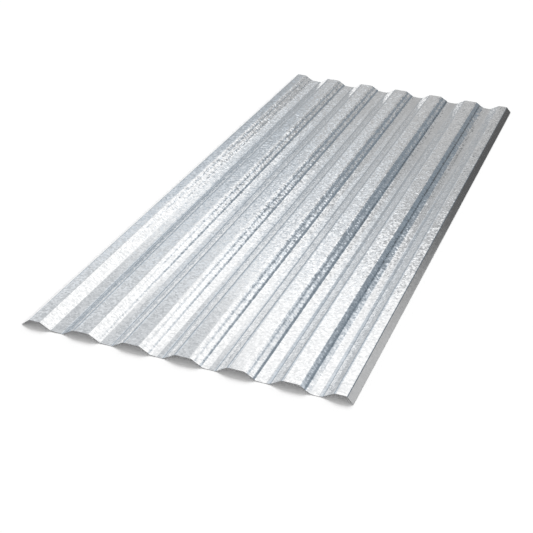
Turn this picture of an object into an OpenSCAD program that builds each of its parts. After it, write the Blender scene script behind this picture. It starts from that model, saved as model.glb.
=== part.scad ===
// Galvanised steel roofing sheet with low trapezoidal corrugations.
// One roll-formed piece, lying on the undersides of its valleys.
// X runs across the ribs, Y along them, Z up.
// The origin is under the middle of the sheet, on the surface that it lies on.

/* [Sheet] */
// Length along the ribs
sheet_length = 2000; // [600:10:6000]
// Thickness of the zinc-coated steel
sheet_t = 0.8; // [0.4:0.05:1.5]

/* [Corrugation] */
// Number of ribs across the sheet
rib_count = 7; // [3:1:12]
// Distance from one rib to the next
pitch = 133; // [110:1:180]
// Height of a rib above the valleys
rib_h = 18; // [8:0.5:26]
// Width of a full rib's crest, between the corners that its bends round off
crest_w = 42; // [30:0.5:48]
// Width of a full valley, between its corners
valley_w = 32; // [22:0.5:38]
// Radius on the inside of each bend
bend_r = 8; // [0.5:0.5:12]

/* [Side laps] */
// Width of the crest at the left edge, which laps over the next sheet
over_crest_w = 30; // [20:0.5:42]
// Sideways run of the left lip
over_lip_run = 21; // [12:0.5:30]
// Width of the crest at the right edge, which the next sheet covers
under_crest_w = 28; // [18:0.5:42]
// Sideways run of the right lip
under_lip_run = 16; // [10:0.5:30]
// Width of the narrower valley beside the right edge
under_valley_w = 25; // [18:0.5:38]
// Height of both lips' cut edges above the valleys
lip_clear = 0.5; // [0:0.25:4]

/* [Hidden] */

// Chords in each bend, few enough to stay light and too short to see
bend_steps = 4;
// Sideways run of the slope between a crest and a valley
flank_run = (pitch - crest_w - valley_w) / 2;
// Heights of the middle of the metal in a valley, on a crest and at a lip's edge
valley_z = sheet_t / 2;
crest_z = valley_z + rib_h;
lip_z = valley_z + lip_clear;
// Radius of each bend on the middle of the metal
mid_r = bend_r + sheet_t / 2;

// Crest of rib k, from its left bend to its right one, before the side ribs are cut down
function crest_left(k) = (k - 1) * pitch;
function crest_right(k) = crest_left(k) + crest_w;

// Corners of a full rib: foot, crest, crest, foot
function full_rib(k) = [
    [crest_left(k) - flank_run, valley_z],
    [crest_left(k), crest_z],
    [crest_right(k), crest_z],
    [crest_right(k) + flank_run, valley_z]
];

// The left rib ends in a lip that lies over the next sheet
function over_rib() = let (left = crest_right(1) - over_crest_w) [
    [left - over_lip_run, lip_z],
    [left, crest_z],
    [crest_right(1), crest_z],
    [crest_right(1) + flank_run, valley_z]
];

// The right rib stands beside a narrower valley and ends in a steeper lip
function under_rib() = let (
    foot = crest_right(rib_count - 1) + flank_run + under_valley_w,
    left = foot + flank_run,
    right = left + under_crest_w
) [
    [foot, valley_z],
    [left, crest_z],
    [right, crest_z],
    [right + under_lip_run, lip_z]
];

// Corners of the whole section on the middle of the metal, centred on X
raw_corners = concat(
    over_rib(),
    [for (k = [2:rib_count - 1]) each full_rib(k)],
    under_rib()
);
last = len(raw_corners) - 1;
middle_x = (raw_corners[0].x + raw_corners[last].x) / 2;
corners = [for (c = raw_corners) [c.x - middle_x, c.y]];

function unit(v) = v / norm(v);
// The direction a quarter turn to the left of v
function left_of(v) = [-v.y, v.x];
function turned(v, angle) = [
    v.x * cos(angle) - v.y * sin(angle),
    v.x * sin(angle) + v.y * cos(angle)
];

// Points round corner k on the face that lies d to the left of the middle of the metal.
// Both faces turn about one centre, so the metal keeps its thickness through the bend.
function bend(k, d) =
    let (
        into = unit(corners[k] - corners[k - 1]),
        out = unit(corners[k + 1] - corners[k]),
        turn = asin(into.x * out.y - into.y * out.x),
        side = sign(turn),
        start = corners[k] - into * mid_r * tan(abs(turn) / 2),
        centre = start + left_of(into) * side * mid_r
    )
    [for (s = [0:bend_steps])
        centre - turned(left_of(into), turn * s / bend_steps) * side * (mid_r - side * d)];

// One face of the sheet, from the left edge to the right one
function face(d) = concat(
    [corners[0] + left_of(unit(corners[1] - corners[0])) * d],
    [for (k = [1:last - 1]) each bend(k, d)],
    [corners[last] + left_of(unit(corners[last] - corners[last - 1])) * d]
);

function reversed(list) = [for (i = [len(list) - 1:-1:0]) list[i]];

// Cross-section of the metal, drawn with Y as the height
module section() {
    polygon(concat(face(sheet_t / 2), reversed(face(-sheet_t / 2))));
}

module corrugated_sheet() {
    color("silver")
        rotate([90, 0, 0])
            linear_extrude(height = sheet_length, center = true)
                section();
}

corrugated_sheet();
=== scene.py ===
# %% [markdown]
# # A ribbed steel roofing sheet
#
# This lesson dresses one galvanised sheet: a strip of thin steel that a row of rollers has bent
# into seven low ribs. Its construction is already packed as a fixed frame. What is left for
# Blender is the skin: soft bends, the small unevenness of rolled metal, and the zinc, whose
# crystals are what makes such a sheet look like one.

# %% Load the frame
import math

import bmesh
import bpy
from mathutils import Matrix, Vector, noise


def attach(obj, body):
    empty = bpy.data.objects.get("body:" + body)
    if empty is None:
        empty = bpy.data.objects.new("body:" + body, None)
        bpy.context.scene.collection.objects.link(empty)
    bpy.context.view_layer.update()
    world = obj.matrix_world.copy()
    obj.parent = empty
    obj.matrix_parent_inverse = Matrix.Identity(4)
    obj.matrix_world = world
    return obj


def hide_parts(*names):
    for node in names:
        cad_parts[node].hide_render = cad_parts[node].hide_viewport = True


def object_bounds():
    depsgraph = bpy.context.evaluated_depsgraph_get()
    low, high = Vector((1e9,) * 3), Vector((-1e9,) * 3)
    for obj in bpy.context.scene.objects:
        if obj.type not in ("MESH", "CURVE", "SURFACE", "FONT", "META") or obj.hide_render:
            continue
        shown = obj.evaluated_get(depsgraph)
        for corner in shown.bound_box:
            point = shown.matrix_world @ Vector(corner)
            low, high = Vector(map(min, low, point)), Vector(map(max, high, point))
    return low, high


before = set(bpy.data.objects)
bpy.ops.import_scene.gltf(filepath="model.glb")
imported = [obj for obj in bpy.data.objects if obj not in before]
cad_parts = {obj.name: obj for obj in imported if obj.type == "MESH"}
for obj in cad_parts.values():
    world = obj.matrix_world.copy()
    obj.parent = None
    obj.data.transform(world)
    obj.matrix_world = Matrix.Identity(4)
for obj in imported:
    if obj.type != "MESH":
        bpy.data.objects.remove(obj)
cad_low, cad_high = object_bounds()
MM = 0.001
print("The packed sheet is", [round((h - l) / MM, 1) for l, h in zip(cad_low, cad_high)], "mm")

# %% [markdown]
# ## The camera
#
# A sheet lying on the ground is seen from one corner, from above, with a long lens. The camera
# could be placed by its coordinates, but the angles at which it looks say more: how far round
# from the front end, how high, and how much it leans. Its axes are worked out from them.

# %% Place the camera
ROUND_FROM_FRONT = math.radians(19.35)
HEIGHT_ANGLE = math.radians(28.51)
LEAN = math.radians(2.42)
CAMERA_DISTANCE = 3.133
LOOKED_AT = Vector((0.0195, -0.4749, 0.0))
LENS_MM = 78.2
SENSOR_MM = 36.0


def aim_camera():
    """Makes the camera on its sight line, and returns it."""
    back = Vector((
        math.sin(ROUND_FROM_FRONT) * math.cos(HEIGHT_ANGLE),
        -math.cos(ROUND_FROM_FRONT) * math.cos(HEIGHT_ANGLE),
        math.sin(HEIGHT_ANGLE),
    ))
    level = Vector((math.cos(ROUND_FROM_FRONT), math.sin(ROUND_FROM_FRONT), 0.0))
    right = Matrix.Rotation(LEAN, 3, back) @ level
    axes = Matrix((right, back.cross(right), back)).transposed()
    camera = bpy.data.objects.new("camera", bpy.data.cameras.new("camera"))
    camera.data.sensor_width = SENSOR_MM
    camera.data.lens = LENS_MM
    camera.matrix_world = Matrix.Translation(LOOKED_AT + back * CAMERA_DISTANCE) @ axes.to_4x4()
    bpy.context.collection.objects.link(camera)
    bpy.context.scene.camera = camera
    return camera


camera = aim_camera()
print("The camera stands at", [round(v, 2) for v in camera.matrix_world.translation])

# %% [markdown]
# ## The sizes of the section
#
# Seen from its end the sheet is one bent line: seven flat crests, six flat valleys, and a lip
# down each side. The line will be drawn along the middle of the metal, corner by corner, from
# the same sizes that the construction has, because the dressed sheet has to fill exactly the
# place of the plain one. The ribs at the two sides are narrower: on a roof the left one goes over
# the next sheet, and the right one under it.

# %% Sizes of the section
SHEET_T = 0.8 * MM
PITCH = 133 * MM
RIBS = 7
RIB_H = 18 * MM
CREST_W = 42 * MM
VALLEY_W = 32 * MM
FLANK_RUN = (PITCH - CREST_W - VALLEY_W) / 2
OVER_CREST_W = 30 * MM
OVER_LIP_RUN = 21 * MM
UNDER_CREST_W = 28 * MM
UNDER_LIP_RUN = 16 * MM
UNDER_VALLEY_W = 25 * MM
LIP_CLEAR = 0.5 * MM
LOW = SHEET_T / 2
HIGH = LOW + RIB_H
print("A slope rises at", round(math.degrees(math.atan(RIB_H / FLANK_RUN)), 1), "degrees")

# %% [markdown]
# ## What the rollers leave
#
# A rolled section is never as even as its drawing, and here the two sides of a rib differ. Each
# crest droops a little towards its right edge. The slope after it has a crease near the top and
# a steep part low down, and its foot runs out into the valley as a long toe. The slope on the
# other side starts and ends with an eased strip. The last slope, beside the narrow valley, has
# one steep strip in its middle and leans gently below. None of it is more than two millimetres
# or so off the plain section, and all of it shows, because a mirror doubles every angle. A bump
# pattern could fake the lines, but not the broad bands that these shapes throw, so they are
# built. A bend is a pair: how far it is from the crest's edge, and how high.

# %% The crests and slopes
DROOP_RUN = 6 * MM
DROOP = 0.27 * MM
CREASED_SLOPE = ((6 * MM, 14.4 * MM), (10 * MM, 11.6 * MM), (20.5 * MM, 6.2 * MM))
STEEP_END = 26 * MM
STEEP_END_RISE = 0.5 * MM
LAST_SLOPE = ((12 * MM, 10.2 * MM), (15 * MM, 7.4 * MM))
TOE_START = 28.5 * MM
TOE_FALL = 0.085
EASE_BEFORE = 3 * MM
EASE_AFTER = 1.5 * MM
EASE_RISE = EASE_AFTER * RIB_H / FLANK_RUN


def crest(width):
    """A flat crest that droops at its right edge."""
    return [(width - DROOP_RUN, HIGH), (DROOP_RUN, HIGH - DROOP)]


def left_slope(ease):
    """The slope that faces left, with an eased strip at its foot and a short one at its top."""
    return [
        ((EASE_BEFORE + EASE_AFTER) * ease, LOW + EASE_RISE * ease),
        (FLANK_RUN - EASE_AFTER * (ease + 1), HIGH - EASE_RISE),
        (EASE_AFTER + EASE_BEFORE, HIGH),
    ]


def right_slope(toe_end, valley_end, last):
    """The slope that faces right, its toe, and the flat of the valley after it."""
    toe_height = TOE_FALL * (toe_end - TOE_START)
    steep_end = (STEEP_END, toe_height + STEEP_END_RISE)
    upper = LAST_SLOPE if last else (*CREASED_SLOPE, steep_end)
    steps = []
    reached = 0.0
    for run, height in (*upper, (TOE_START, toe_height), (toe_end, 0), (valley_end, 0)):
        steps.append((run - reached, LOW + height))
        reached = run
    return steps


print("An eased strip rises", round(EASE_RISE / MM, 2), "mm, and a crest droops", DROOP / MM, "mm")

# %% [markdown]
# ## The whole section
#
# The ribs aren't quite alike: the toes are longer on the left than on the right, and the last
# two slopes that face left are eased over a wider strip at their feet. Two short rows of numbers
# say so, and a loop puts the section together, as runs and heights from one bend to the next.

# %% Bends from left to right
TOE_ENDS = (53 * MM, 44 * MM, 46 * MM, 43 * MM, 40 * MM, 39 * MM)
EASES = (1, 1, 1, 1, 2, 2)


def section_steps():
    """The bends from left to right, each as the run to it from the last one and its height."""
    steps = [(OVER_LIP_RUN, HIGH)] + crest(OVER_CREST_W)
    for valley, (toe_end, ease) in enumerate(zip(TOE_ENDS, EASES), start=1):
        last = valley == RIBS - 1
        valley_end = FLANK_RUN + (UNDER_VALLEY_W if last else VALLEY_W) - EASE_BEFORE * ease
        steps += right_slope(toe_end, valley_end, last) + left_slope(ease)
        steps += crest((UNDER_CREST_W if last else CREST_W) - EASE_BEFORE)
    return steps + [(UNDER_LIP_RUN, LOW + LIP_CLEAR)]


section_width = sum(run for run, height in section_steps())
print("The section is", round(section_width / MM, 1), "mm wide, in", len(section_steps()), "runs")

# %% [markdown]
# ## The section as a wire
#
# The line is drawn at the front end as a few points with an edge from each to the next. Each
# edge is then cut into short pieces, because a straight edge has nothing that can bend.

# %% Draw the wire
LINE_STEP = 1.5 * MM


def draw_section(bm, y):
    """Draws the section's corners as a wire at one end of the sheet, and cuts it up finely."""
    x = -section_width / 2
    corner = bm.verts.new((x, y, LOW + LIP_CLEAR))
    for run, height in section_steps():
        x += run
        following = bm.verts.new((x, y, height))
        bm.edges.new((corner, following))
        corner = following
    for edge in list(bm.edges):
        cuts = round(edge.calc_length() / LINE_STEP) - 1
        bmesh.ops.subdivide_edges(bm, edges=[edge], cuts=cuts)


skin = bmesh.new()
draw_section(skin, cad_low.y)
print("The wire has", len(skin.verts), "points")

# %% [markdown]
# ## Soft bends
#
# The rollers give the bends no sharp corners. Arcs could be worked out for them, but it is
# simpler to relax the wire: each point moves towards its neighbours, so the corners soften and
# the straight stretches stay straight. One pass makes the bend itself. Many more would show what
# springing back does, which curves the flats beside each bend ever so slightly, so a share of
# such a soft line is mixed in.

# %% Soften the bends
BEND_PASSES = 1
SPRING_PASSES = 25
SPRING_SHARE = 0.07
HALFWAY = 0.5


def relax(bm, passes):
    """Softens every bend, and leaves the two lips' ends where they are."""
    inner = [v for v in bm.verts if len(v.link_edges) == 2]
    for number in range(passes):
        bmesh.ops.smooth_vert(bm, verts=inner, factor=HALFWAY, use_axis_x=True, use_axis_z=True)


def spring_back(bm):
    """Bends the line as the rollers do, mixes in a softer one, and returns the largest move."""
    relax(bm, BEND_PASSES)
    bent = [v.co.copy() for v in bm.verts]
    relax(bm, SPRING_PASSES)
    for v, place in zip(bm.verts, bent):
        v.co = place.lerp(v.co, SPRING_SHARE)
    return max((v.co - place).length for v, place in zip(bm.verts, bent))


print("Springing back moves a bend by", round(spring_back(skin) / MM, 2), "mm at most")

# %% [markdown]
# ## From the wire to a sheet
#
# A roller line pulls the strip through one shape, and an extrusion does the same: the wire is
# drawn out to the other end. It is then cut across into even rows, which the next step needs.
# Blender can't know which side of such an open skin is the top, so the faces are turned up.

# %% Pull it along
ROWS = 60


def pull_along(bm, length):
    """Extrudes the wire into a sheet, and cuts it across into even rows."""
    drawn = bmesh.ops.extrude_edge_only(bm, edges=list(bm.edges))["geom"]
    moved = [v for v in drawn if isinstance(v, bmesh.types.BMVert)]
    bmesh.ops.translate(bm, verts=moved, vec=(0.0, length, 0.0))
    along = [e for e in bm.edges if abs(e.verts[0].co.y - e.verts[1].co.y) > length / 2]
    bmesh.ops.subdivide_edges(bm, edges=along, cuts=ROWS - 1, use_grid_fill=True)


def turn_up(bm):
    """Makes the faces agree, and turns them all over if they point down."""
    bmesh.ops.recalc_face_normals(bm, faces=bm.faces)
    if sum(face.normal.z for face in bm.faces) < 0:
        bmesh.ops.reverse_faces(bm, faces=bm.faces)


pull_along(skin, cad_high.y - cad_low.y)
turn_up(skin)
print("The skin has", len(skin.faces), "faces")

# %% [markdown]
# ## Not quite flat
#
# No rolled flat is a true plane. Its surface goes up and down by a tenth of a millimetre or two
# over a hand's width, far too little to see as a shape, but enough to make the reflections
# wander. A slow noise lowers the crests and lifts the valleys by about that much, so the sheet
# stays inside its own height.

# %% Let the flats wander
WANDER = 0.25 * MM
WANDER_ACROSS = 0.11
WANDER_ALONG = 0.30


def wander(bm):
    """Moves the points by a slow noise, longer along the ribs than across, and returns the most."""
    most = 0.0
    for v in bm.verts:
        place = Vector((v.co.x / WANDER_ACROSS, v.co.y / WANDER_ALONG, 0.0))
        share = min(1.0, max(0.0, HALFWAY + noise.noise(place)))
        lift = WANDER * share * (1 - 2 * (v.co.z - LOW) / RIB_H)
        v.co.z += lift
        most = max(most, abs(lift))
    return most


print("The flats wander by", round(wander(skin) / MM, 2), "mm at most")

# %% [markdown]
# ## The thickness
#
# So far the sheet is a skin without a back. Blender's Solidify gives it the real thickness,
# half of it to each side, and closes it all round with a rim, which gets a material of its own
# for the cut edge. The faces are shaded smooth, and only the border of the skin stays sharp, so
# that the soft bends show as soft and the cut edge as cut.

# %% Give the metal its thickness
def thicken(bm, name):
    """Turns the skin into the sheet's object, with a wall of the real thickness."""
    for face in bm.faces:
        face.smooth = True
    for edge in bm.edges:
        edge.smooth = not edge.is_boundary
    mesh = bpy.data.meshes.new(name)
    bm.to_mesh(mesh)
    bm.free()
    thing = bpy.data.objects.new(name, mesh)
    bpy.context.collection.objects.link(thing)
    wall = thing.modifiers.new("thickness", "SOLIDIFY")
    wall.thickness = SHEET_T
    wall.offset = 0.0
    wall.use_even_offset = True
    wall.use_rim = True
    wall.material_offset_rim = 1
    return thing


sheet = thicken(skin, "galvanised_sheet")
print("The sheet is", SHEET_T / MM, "mm thick")

# %% [markdown]
# ## The cut edge
#
# All round, the shears have gone through the zinc, and the bare steel shows as a thin dark line.
# Shearing half cuts and half tears, so the edge is patchy, duller in some spots than in others.
# A material is a tree of nodes round one shader, and a small helper that adds a node, sets it
# and wires it keeps such a tree short to write. A fine noise mixes two greys and two finishes.

# %% Make the cut edge
TEARS_PER_M = 600.0
CUT_STEEL = (0.22, 0.22, 0.23, 1.0)
TORN_STEEL = (0.18, 0.18, 0.19, 1.0)
CUT_ROUGHNESS = 0.38
TORN_ROUGHNESS = 0.52


def add(tree, kind, inputs=None, **settings):
    """A new node with its settings made, and each input set to a value or wired to a socket."""
    node = tree.nodes.new(kind)
    for name, value in settings.items():
        setattr(node, name, value)
    for name, value in (inputs or {}).items():
        if isinstance(value, bpy.types.NodeSocket):
            tree.links.new(value, node.inputs[name])
        else:
            node.inputs[name].default_value = value
    return node


def metal_material(name):
    """A metal without a finish yet, its node tree and its shader."""
    material = bpy.data.materials.new(name)
    material.use_nodes = True
    shader = material.node_tree.nodes["Principled BSDF"]
    shader.inputs["Metallic"].default_value = 1.0
    return material, material.node_tree, shader


def cut_edge_material():
    """Bare steel where the sheet was sheared, darker and duller than the zinc."""
    material, tree, shader = metal_material("cut_edge")
    place = add(tree, "ShaderNodeTexCoord").outputs["Object"]
    tears = add(tree, "ShaderNodeTexNoise", {"Vector": place, "Scale": TEARS_PER_M}).outputs["Fac"]
    steel = add(
        tree, "ShaderNodeMix", {"Factor": tears, "A": CUT_STEEL, "B": TORN_STEEL}, data_type="RGBA")
    finish = add(
        tree, "ShaderNodeMapRange",
        {"Value": tears, "To Min": CUT_ROUGHNESS, "To Max": TORN_ROUGHNESS})
    tree.links.new(steel.outputs["Result"], shader.inputs["Base Color"])
    tree.links.new(finish.outputs[0], shader.inputs["Roughness"])
    return material


cut_edge = cut_edge_material()
print("The cut edge has", len(cut_edge.node_tree.nodes), "nodes")

# %% [markdown]
# ## Crystals, patches and streaks
#
# Hot zinc freezes on steel in crystals, and each crystal's face leans its own small way. That is
# the spangle: where the room is evenly bright the faces all look alike, and where it changes
# from bright to dark they sparkle. Crystals that are only painted would look the same everywhere,
# so each cell of a Voronoi pattern turns the surface a little, and the light does the rest. A
# slower noise turns patches of crystals together, and one that is drawn out in the rolling
# direction gives the streaks that the rollers leave. Towards the front end the spangle is calmer,
# so the crystals lean less there.

# %% Turn the surface
CRYSTALS_PER_M = 200.0
CRYSTAL_LEAN = 0.07
PATCHES_PER_M = (120.0, 120.0, 120.0)
PATCH_LEAN = 0.12
STREAKS_PER_M = (330.0, 5.0, 330.0)
STREAK_LEAN = 0.03
NOISE_DETAIL = 2.0
MIDDLE_GREY = (0.5, 0.5, 0.5)
LIVELY_BEHIND = -0.25
CALM_BEFORE = -0.85
CALM_SHARE = 0.4


def product(tree, first, second):
    """Two values multiplied."""
    return add(tree, "ShaderNodeMath", {0: first, 1: second}, operation="MULTIPLY").outputs[0]


def noise_colour(tree, place, per_metre):
    """A noise in three colours, with its own scale along each axis."""
    scaled = add(tree, "ShaderNodeMapping", {"Vector": place, "Scale": per_metre}).outputs[0]
    pattern = add(
        tree, "ShaderNodeTexNoise", {"Vector": scaled, "Scale": 1.0, "Detail": NOISE_DETAIL})
    return pattern.outputs["Color"]


def turned(tree, surface, colour, amount):
    """The surface's direction, turned a little to the side that a pattern's colour says."""
    aside = add(tree, "ShaderNodeVectorMath", {0: colour, 1: MIDDLE_GREY}, operation="SUBTRACT")
    lean = add(
        tree, "ShaderNodeVectorMath", {0: aside.outputs[0], "Scale": amount}, operation="SCALE")
    return add(tree, "ShaderNodeVectorMath", {0: surface, 1: lean.outputs[0]}).outputs[0]


def frozen_surface(tree, place, crystals, film_and_shade):
    """The direction that the zinc faces, once it has frozen and been rolled."""
    # Under the valleys' film and the lips' painted shade the crystals lean less.
    bare = add(tree, "ShaderNodeMath", {0: 1.0, 1: film_and_shade}, operation="SUBTRACT").outputs[0]
    along = add(tree, "ShaderNodeSeparateXYZ", {0: place}).outputs["Y"]
    lively = add(
        tree, "ShaderNodeMapRange",
        {"Value": along, "From Min": CALM_BEFORE, "From Max": LIVELY_BEHIND, "To Min": CALM_SHARE})
    share = product(tree, bare, lively.outputs[0])
    surface = add(tree, "ShaderNodeNewGeometry").outputs["Normal"]
    surface = turned(tree, surface, crystals, product(tree, share, CRYSTAL_LEAN))
    patches = noise_colour(tree, place, PATCHES_PER_M)
    surface = turned(tree, surface, patches, product(tree, share, PATCH_LEAN))
    surface = turned(tree, surface, noise_colour(tree, place, STREAKS_PER_M), STREAK_LEAN)
    return add(tree, "ShaderNodeVectorMath", {0: surface}, operation="NORMALIZE").outputs[0]


print("A crystal is about", 1 / CRYSTALS_PER_M / MM, "mm wide")

# %% [markdown]
# ## The dull film, and painted shade on the lips
#
# Fresh zinc dulls where damp has stood on it. On this sheet the film lies in the valleys, in
# stains, and gets thicker towards the far right corner. The two lips are darkened evenly with
# the same grey, and that is painted shade, which dims what they mirror. Both cover the crystals'
# sparkle as well as their colour, so one share is worked out for each place, from nothing to
# full, and both the colour and the crystals' leans use it. A noise averages a half, so the
# stains are divided by that.

# %% Measure the film and the lips' painted shade
FILM_DEPTH = 2.5 * MM
VALLEY_FILM = 0.85
STAINS_PER_M = 9.0
STAIN_DETAIL = 3.0
STAIN_AVERAGE = 0.5
DAMP_SIDE = (2.2, 1.0, 0.0)
DAMP_FROM = -0.25
DAMP_TO = 1.1
# Painted shade on the lips, which dims what they mirror: its share of the grey, and how far in it
# reaches.
LIP_SHADE = 0.75
LIP_SHADE_WIDTH = 20 * MM


def fade(tree, value, start, end):
    """One where the value is at the start, zero at the end, and even between."""
    falling = add(
        tree, "ShaderNodeMapRange",
        {"Value": value, "From Min": start, "From Max": end, "To Min": 1.0, "To Max": 0.0})
    return falling.outputs[0]


def valley_film(tree, place, height):
    """The stains low down in the valleys, which grow towards the damp side."""
    stains = add(
        tree, "ShaderNodeTexNoise",
        {"Vector": place, "Scale": STAINS_PER_M, "Detail": STAIN_DETAIL}).outputs["Fac"]
    reach = add(tree, "ShaderNodeVectorMath", {0: place, 1: DAMP_SIDE}, operation="DOT_PRODUCT")
    low = fade(tree, height, LOW, LOW + FILM_DEPTH)
    damp = product(tree, low, fade(tree, reach.outputs["Value"], DAMP_TO, DAMP_FROM))
    return product(tree, damp, product(tree, stains, VALLEY_FILM / STAIN_AVERAGE))


def film_and_shade_share(tree, place):
    """How much the zinc is dulled: by stains low in the valleys, and evenly on the lips by painted
    shade.
    """
    part = add(tree, "ShaderNodeSeparateXYZ", {0: place}).outputs
    aside = add(tree, "ShaderNodeMath", {0: part["X"]}, operation="ABSOLUTE").outputs[0]
    half = section_width / 2
    # The lips' painted shade, full near the two side edges and fading out further in.
    on_lip = fade(tree, aside, half - LIP_SHADE_WIDTH / 2, half - LIP_SHADE_WIDTH)
    lips = product(tree, on_lip, LIP_SHADE)
    valleys = valley_film(tree, place, part["Z"])
    return add(tree, "ShaderNodeMath", {0: valleys, 1: lips}, operation="MAXIMUM").outputs[0]


print("The film reaches", FILM_DEPTH / MM, "mm up the valleys' sides")

# %% [markdown]
# ## The zinc
#
# The crystals differ in more than their lean: some are bright and some dull, some a touch
# smoother than others. The Voronoi pattern gives each cell one random colour, and its channels
# serve as three random numbers, so the same cells that lean also get their tone and their shine.

# %% Make the zinc
BRIGHT_ZINC = (0.995, 0.997, 0.999, 1.0)
DULL_ZINC = (0.71, 0.72, 0.73, 1.0)
# The grey of the valleys' dull film, which also serves as painted shade on the lips.
FILM_AND_SHADE = (0.67, 0.675, 0.68, 1.0)
SMOOTHEST = 0.06
ROUGHEST = 0.13


def zinc_material():
    """Zinc crystals, each with its own lean, tone and shine, stained in the valleys, painted shade
    on the lips.
    """
    material, tree, shader = metal_material("zinc_spangle")
    place = add(tree, "ShaderNodeTexCoord").outputs["Object"]
    crystals = add(
        tree, "ShaderNodeTexVoronoi", {"Vector": place, "Scale": CRYSTALS_PER_M}).outputs["Color"]
    number = add(tree, "ShaderNodeSeparateColor", {0: crystals}).outputs
    film_and_shade = film_and_shade_share(tree, place)
    tone = add(
        tree, "ShaderNodeMix", {"Factor": number[0], "A": BRIGHT_ZINC, "B": DULL_ZINC},
        data_type="RGBA")
    # The film in the valleys and the painted shade on the lips turn the tone towards that grey.
    filmed_and_shaded = add(
        tree, "ShaderNodeMix", {"Factor": film_and_shade, "A": tone.outputs["Result"], "B": FILM_AND_SHADE},
        data_type="RGBA")
    shine = add(
        tree, "ShaderNodeMapRange", {"Value": number[1], "To Min": SMOOTHEST, "To Max": ROUGHEST})
    tree.links.new(frozen_surface(tree, place, crystals, film_and_shade), shader.inputs["Normal"])
    tree.links.new(filmed_and_shaded.outputs["Result"], shader.inputs["Base Color"])
    tree.links.new(shine.outputs[0], shader.inputs["Roughness"])
    return material


zinc = zinc_material()
print("The zinc has", len(zinc.node_tree.nodes), "nodes")

# %% [markdown]
# ## In the frame's place
#
# The dressed sheet takes its two materials, zinc first and the rim's cut edge second, and stands
# for the plain one of the construction, which is hidden but still there for everything that
# weighs or touches. It rides on the only body that there is.

# %% Dress the frame
sheet.data.materials.append(zinc)
sheet.data.materials.append(cut_edge)
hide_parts("corrugated_sheet")
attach(sheet, "root")
print(sheet.name, "stands for the packed sheet, with", len(sheet.data.materials), "materials")

# %% [markdown]
# ## The floor
#
# The background is plain white, so the floor has to come out white where nothing shades it. More
# light would do that and burn out the metal too. Instead it is a pale matt floor under soft
# light, and what is missing to full white it glows, but only where the camera or a mirror sees
# it. It lies a hair below the sheet, so that the two surfaces never fight for one place.

# %% Lay the floor
FLOOR_SIZE = 160.0
FLOOR_GAP = 0.2 * MM
FLOOR_GREY = (0.90, 0.90, 0.90, 1.0)
FLOOR_GLOW = 0.05


def seen_directly(tree):
    """One where the ray comes from the camera, a mirror or through glass, and zero elsewhere."""
    path = add(tree, "ShaderNodeLightPath").outputs
    either = add(
        tree, "ShaderNodeMath",
        {0: path["Is Camera Ray"], 1: path["Is Glossy Ray"]}, operation="MAXIMUM")
    return add(
        tree, "ShaderNodeMath",
        {0: either.outputs[0], 1: path["Is Transmission Ray"]}, operation="MAXIMUM").outputs[0]


def bare_material(name):
    """A material without a shader, its node tree and its output."""
    material = bpy.data.materials.new(name)
    material.use_nodes = True
    material.node_tree.nodes.clear()
    return material, material.node_tree, add(material.node_tree, "ShaderNodeOutputMaterial")


def floor_material():
    """A pale matt floor that glows a little where it is seen directly."""
    material, tree, out = bare_material("pale_floor")
    lit = add(tree, "ShaderNodeBsdfDiffuse", {"Color": FLOOR_GREY})
    strength = product(tree, seen_directly(tree), FLOOR_GLOW)
    glow = add(tree, "ShaderNodeEmission", {"Strength": strength})
    both = add(tree, "ShaderNodeAddShader", {0: lit.outputs[0], 1: glow.outputs[0]})
    tree.links.new(both.outputs[0], out.inputs["Surface"])
    return material


def object_from(bm, name, material):
    """An object of a finished bmesh, with one material."""
    mesh = bpy.data.meshes.new(name)
    bm.to_mesh(mesh)
    bm.free()
    mesh.materials.append(material)
    thing = bpy.data.objects.new(name, mesh)
    bpy.context.collection.objects.link(thing)
    return thing


ground = bmesh.new()
bmesh.ops.create_grid(ground, x_segments=1, y_segments=1, size=FLOOR_SIZE / 2)
bmesh.ops.translate(ground, verts=ground.verts, vec=(0.0, 0.0, cad_low.z - FLOOR_GAP))
floor = object_from(ground, "floor", floor_material())
print("The floor is", FLOOR_SIZE, "m wide")

# %% [markdown]
# ## A card for the metal to mirror
#
# Metal has hardly a colour of its own: it shows what stands round it. A photographer therefore
# lights it with cards. Here a card is a curved wall some 20 m away that glows, brighter or
# darker with the angle above the floor, and fades out at its two sides, so that no hard line
# shows in the metal. The wall is made by spinning one upright edge round the set. Its glow is
# read from its own coordinates: an angle round, an angle up, and a colour ramp over the latter.
# Only the metal sees it, so it neither lights nor shades the floor.

# %% Make a card
CARD_DISTANCE = 20.0
CARD_STEP = 5.0
CARD_LEVEL = 1.085
RIGHT_ANGLE = 90


def side_cover(tree, place, middle, half_width, soft):
    """One on a card, and zero at its two sides, with a soft change between."""
    angle = math.radians(middle)
    ahead = add(
        tree, "ShaderNodeVectorRotate", {"Vector": place, "Angle": angle}, rotation_type="Z_AXIS")
    part = add(tree, "ShaderNodeSeparateXYZ", {0: ahead.outputs[0]}).outputs
    across = add(tree, "ShaderNodeMath", {0: part["X"], 1: part["Y"]}, operation="ARCTAN2")
    aside = add(tree, "ShaderNodeMath", {0: across.outputs[0]}, operation="ABSOLUTE")
    return add(
        tree, "ShaderNodeMapRange",
        {"Value": aside.outputs[0], "From Min": math.radians(half_width),
         "From Max": math.radians(half_width - soft)},
        interpolation_type="SMOOTHSTEP").outputs[0]


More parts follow.
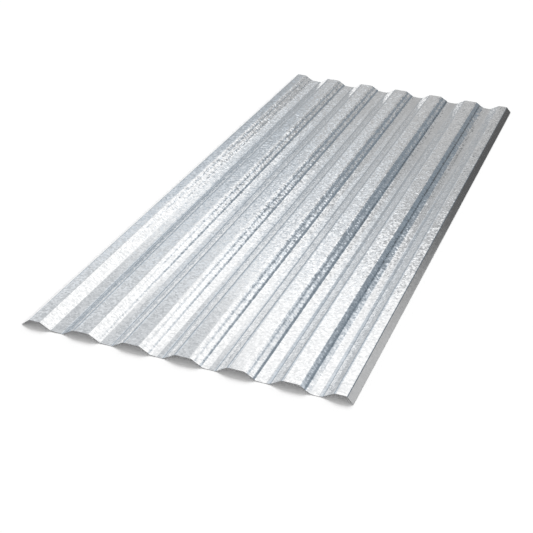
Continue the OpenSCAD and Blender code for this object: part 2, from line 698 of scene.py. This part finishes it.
def height_ramp(tree, place, levels):
    """A card's colour at each height, given as the angle up to it from CARD_DISTANCE away."""
    height = add(tree, "ShaderNodeSeparateXYZ", {0: place}).outputs["Z"]
    slope = add(tree, "ShaderNodeMath", {0: height, 1: CARD_DISTANCE}, operation="DIVIDE")
    raised = add(tree, "ShaderNodeMath", {0: slope.outputs[0]}, operation="ARCTANGENT")
    share = product(tree, raised.outputs[0], 1 / math.radians(RIGHT_ANGLE))
    ramp = add(tree, "ShaderNodeValToRGB", {0: share})
    while len(ramp.color_ramp.elements) < len(levels):
        ramp.color_ramp.elements.new(1.0)
    for stop, (angle, grey, blue) in zip(ramp.color_ramp.elements, levels):
        stop.position = angle / RIGHT_ANGLE
        stop.color = (grey * (1 - blue), grey, grey * (1 + blue), 1.0)
    return ramp.outputs[0]


def card_material(name, middle, half_width, soft, levels):
    """A card's glow, which lets through what is behind where the card's sides fade out."""
    material, tree, out = bare_material(name)
    place = add(tree, "ShaderNodeTexCoord").outputs["Object"]
    cover = side_cover(tree, place, middle, half_width, soft)
    colour = height_ramp(tree, place, levels)
    glow = add(tree, "ShaderNodeEmission", {"Color": colour, "Strength": CARD_LEVEL})
    clear = add(tree, "ShaderNodeBsdfTransparent")
    mixed = add(tree, "ShaderNodeMixShader", {0: cover, 1: clear.outputs[0], 2: glow.outputs[0]})
    tree.links.new(mixed.outputs[0], out.inputs["Surface"])
    return material


def hang_card(name, middle, half_width, soft, levels, nearer=0.0):
    """A curved card round the set. Angles are in degrees, from behind the sheet to the right."""
    distance = CARD_DISTANCE - nearer
    bm = bmesh.new()
    start = math.radians(middle - half_width)
    side = Vector((math.sin(start), math.cos(start), 0.0)) * distance
    top = distance * math.tan(math.radians(levels[-1][0]))
    foot = bm.verts.new(side)
    head = bm.verts.new(side + Vector((0.0, 0.0, top)))
    edge = bm.edges.new((foot, head))
    bmesh.ops.spin(
        bm, geom=[foot, head, edge], cent=(0, 0, 0), axis=(0, 0, -1),
        angle=math.radians(2 * half_width), steps=round(2 * half_width / CARD_STEP))
    card = object_from(bm, name, card_material(name, middle, half_width, soft, levels))
    card.visible_camera = False
    card.visible_diffuse = False
    card.visible_shadow = False


print("A card stands", CARD_DISTANCE, "m away and glows at a level of", CARD_LEVEL)

# %% [markdown]
# ## The tent
#
# The first card goes all round, as a tent: grey near the floor and bright from about thirty
# degrees up. Its levels are triples of the angle up, the grey, and how much bluer than grey.
# Between the grey and the bright there are slats, as in a blind, each lighter or darker than the
# tent. Their edges are what the leaning crystals pick up, so they make the spangle lively where
# the sheet mirrors them, and leave it calm elsewhere. The tent's two ends overlap by a degree, so
# that no seam shows.

# %% Hang the tent
TENT_HALF_WIDTH = 180.5
TENT_SOFT = 0.5
SLAT_LOW = 21.5
SLAT_HIGH = 29.5
SLAT_STEP = 2.0
SLAT_DEPTH = 0.34
TENT = (
    (0, 0.42, -0.01), (20, 0.41, 0), (24, 0.38, 0.02), (26, 0.44, 0.02), (28, 0.57, 0.02),
    (30, 0.80, 0.01), (31, 0.91, 0), (32.5, 0.99, 0), (34, 1.04, 0), (65, 1.06, 0))


def level_at(levels, angle):
    """The grey and the blue of a card at an angle between two of its levels."""
    pairs = zip(levels, levels[1:])
    below, above = next(pair for pair in pairs if angle <= pair[1][0])
    share = (angle - below[0]) / (above[0] - below[0])
    return tuple(low + share * (high - low) for low, high in zip(below[1:], above[1:]))


def slatted(levels):
    """The same levels with slats across the middle heights, one lighter and the next darker."""
    slats = []
    for number in range(round((SLAT_HIGH - SLAT_LOW) / SLAT_STEP) + 1):
        angle = SLAT_LOW + number * SLAT_STEP
        grey, blue = level_at(levels, angle)
        slats.append((angle, grey + SLAT_DEPTH * (-1) ** number, blue))
    above = SLAT_HIGH + SLAT_STEP / 2
    slats.append((above, *level_at(levels, above)))
    below_slats = [level for level in levels if level[0] < SLAT_LOW - SLAT_STEP / 2]
    above_slats = [level for level in levels if level[0] > above]
    return below_slats + slats + above_slats


hang_card("tent", 0, TENT_HALF_WIDTH, TENT_SOFT, slatted(TENT))
print("The tent's levels with slats:", [(a, round(grey, 2)) for a, grey, blue in slatted(TENT)])

# %% [markdown]
# ## The cards in front of the tent
#
# A tent alone would make the sheet look like grey paper. What shows the ribs is that the slopes
# mirror other parts of the room than the flats do. From left to right there hang a bluish screen
# that dims the flats on the left, a corner card and a glow that lead over to the middle, a side
# card, a second glow and a dark flag, whose picture in the right-hand slopes is the row of dark
# stripes, and low down a glow for the lip. Like the tent's, their levels are triples of the angle
# up, the grey, and how much bluer than grey.

# %% The levels of the cards
SIDE = ((0, 0.49, -0.01), (20, 0.50, 0), (22, 0.51, 0.01), (24, 0.50, 0.02))
GLOW = (
    (0, 0.48, 0), (19.5, 0.49, 0.01), (21, 0.52, 0.03), (23, 0.62, 0.06), (25, 0.73, 0.05),
    (27, 0.85, 0.03), (29, 0.95, 0.01), (33, 1.01, 0), (65, 1.04, 0))
SCREEN = (
    (0, 0.58, 0.03), (8, 0.55, 0.04), (12, 0.36, 0.14), (18, 0.38, 0.12), (20, 0.50, 0.10),
    (21.5, 0.59, 0.10), (25, 0.73, 0.06), (27, 0.76, 0.04), (29, 0.72, 0.03), (31, 0.62, 0.03),
    (65, 0.57, 0.03))
CORNER = ((0, 0.42, 0.04), (18, 0.38, 0.06), (20, 0.50, 0.09), (22, 0.58, 0.08), (24, 0.64, 0.07))
FLAG = (
    (0, 0.12, -0.02), (9, 0.11, 0.02), (13, 0.12, 0.12), (16, 0.18, 0.18), (18, 0.27, 0.18),
    (20, 0.29, 0.16), (22, 0.26, 0.14), (24, 0.30, 0.13), (26, 0.44, 0.11), (28, 0.63, 0.08),
    (30, 0.79, 0.04), (32, 0.91, 0.01), (34, 1.01, 0), (38, 1.09, 0))
SLOPE_GLOW = (
    (0, 0.20, 0.02), (20, 0.27, 0.14), (24, 0.30, 0.12), (25, 0.39, 0.11), (27, 0.72, 0.08),
    (28, 0.90, 0.06), (29, 1.00, 0.03), (32, 1.12, 0), (38, 1.12, 0))
LIP_GLOW = ((0, 0.66, 0), (12, 0.58, 0))
print("The flag's darkest level is at", min(FLAG, key=lambda level: level[1])[0], "degrees")

# %% [markdown]
# ## Where the cards hang
#
# A table keeps the cards together, and one loop hangs them all. A row has the card's name, how far
# its middle is to the right of straight behind the sheet, half its width and the width of its soft
# sides, all in degrees, how many metres nearer than the tent it hangs, and its levels. A nearer
# card covers those behind it, and shows its levels up to two and a half degrees higher than they
# say, since their angles are those from the tent's distance. A sheet is looked at from all sides,
# so the same set hangs four times, a quarter turn apart.

# %% Hang the cards
CARDS = (
    ("side", -11.5, 5.5, 2, 0.3, SIDE),
    ("glow", -17.5, 7.5, 4, 0.5, slatted(GLOW)),
    ("screen", -42.5, 22, 3, 1.0, SCREEN),
    ("corner", -22, 5, 2, 1.2, CORNER),
    ("flag", 25, 17, 6, 1.5, FLAG),
    ("slope_glow", 14.5, 4.5, 3, 1.7, SLOPE_GLOW),
    ("lip_glow", 39, 14, 12, 2.0, LIP_GLOW),
)

for quarter in range(4):
    for name, middle, half_width, soft, nearer, levels in CARDS:
        turn = RIGHT_ANGLE * quarter + middle
        hang_card(f"{name}_{quarter}", turn, half_width, soft, levels, nearer)

# %% [markdown]
# ## The light on the floor
#
# The metal mirrors the cards, with the floor below them and the sky above. The floor gets its
# light from that even sky and one broad, soft lamp from the back left, which lays the shadow to
# the front right. Both are kept at a plain level, and the sky is white where the camera or a
# mirror sees it.

# %% Light the set
SKY_LEVEL = 0.60
LAMP_LEVEL = 2.0
LAMP_SOFTNESS = math.radians(35)
LAMP_TILT = math.radians(42)
LAMP_TURN = math.radians(212)


def light_sky():
    """An even sky, white where it is seen directly."""
    world = bpy.data.worlds.new("studio")
    world.use_nodes = True
    tree = world.node_tree
    level = add(
        tree, "ShaderNodeMix", {"Factor": seen_directly(tree), "A": SKY_LEVEL, "B": 1.0},
        data_type="FLOAT")
    sky = tree.nodes["Background"]
    sky.inputs["Color"].default_value = (1.0, 1.0, 1.0, 1.0)
    tree.links.new(level.outputs["Result"], sky.inputs["Strength"])
    bpy.context.scene.world = world


def hang_lamp():
    """One broad lamp, which no metal mirrors."""
    lamp_data = bpy.data.lights.new("lamp", "SUN")
    lamp_data.angle = LAMP_SOFTNESS
    lamp_data.energy = LAMP_LEVEL
    lamp = bpy.data.objects.new("lamp", lamp_data)
    lamp.rotation_euler = (LAMP_TILT, 0.0, LAMP_TURN)
    lamp.visible_glossy = False
    bpy.context.collection.objects.link(lamp)


light_sky()
hang_lamp()
bpy.context.scene.view_settings.view_transform = "Standard"
print("The sky lights at", SKY_LEVEL, "and the lamp at", LAMP_LEVEL)
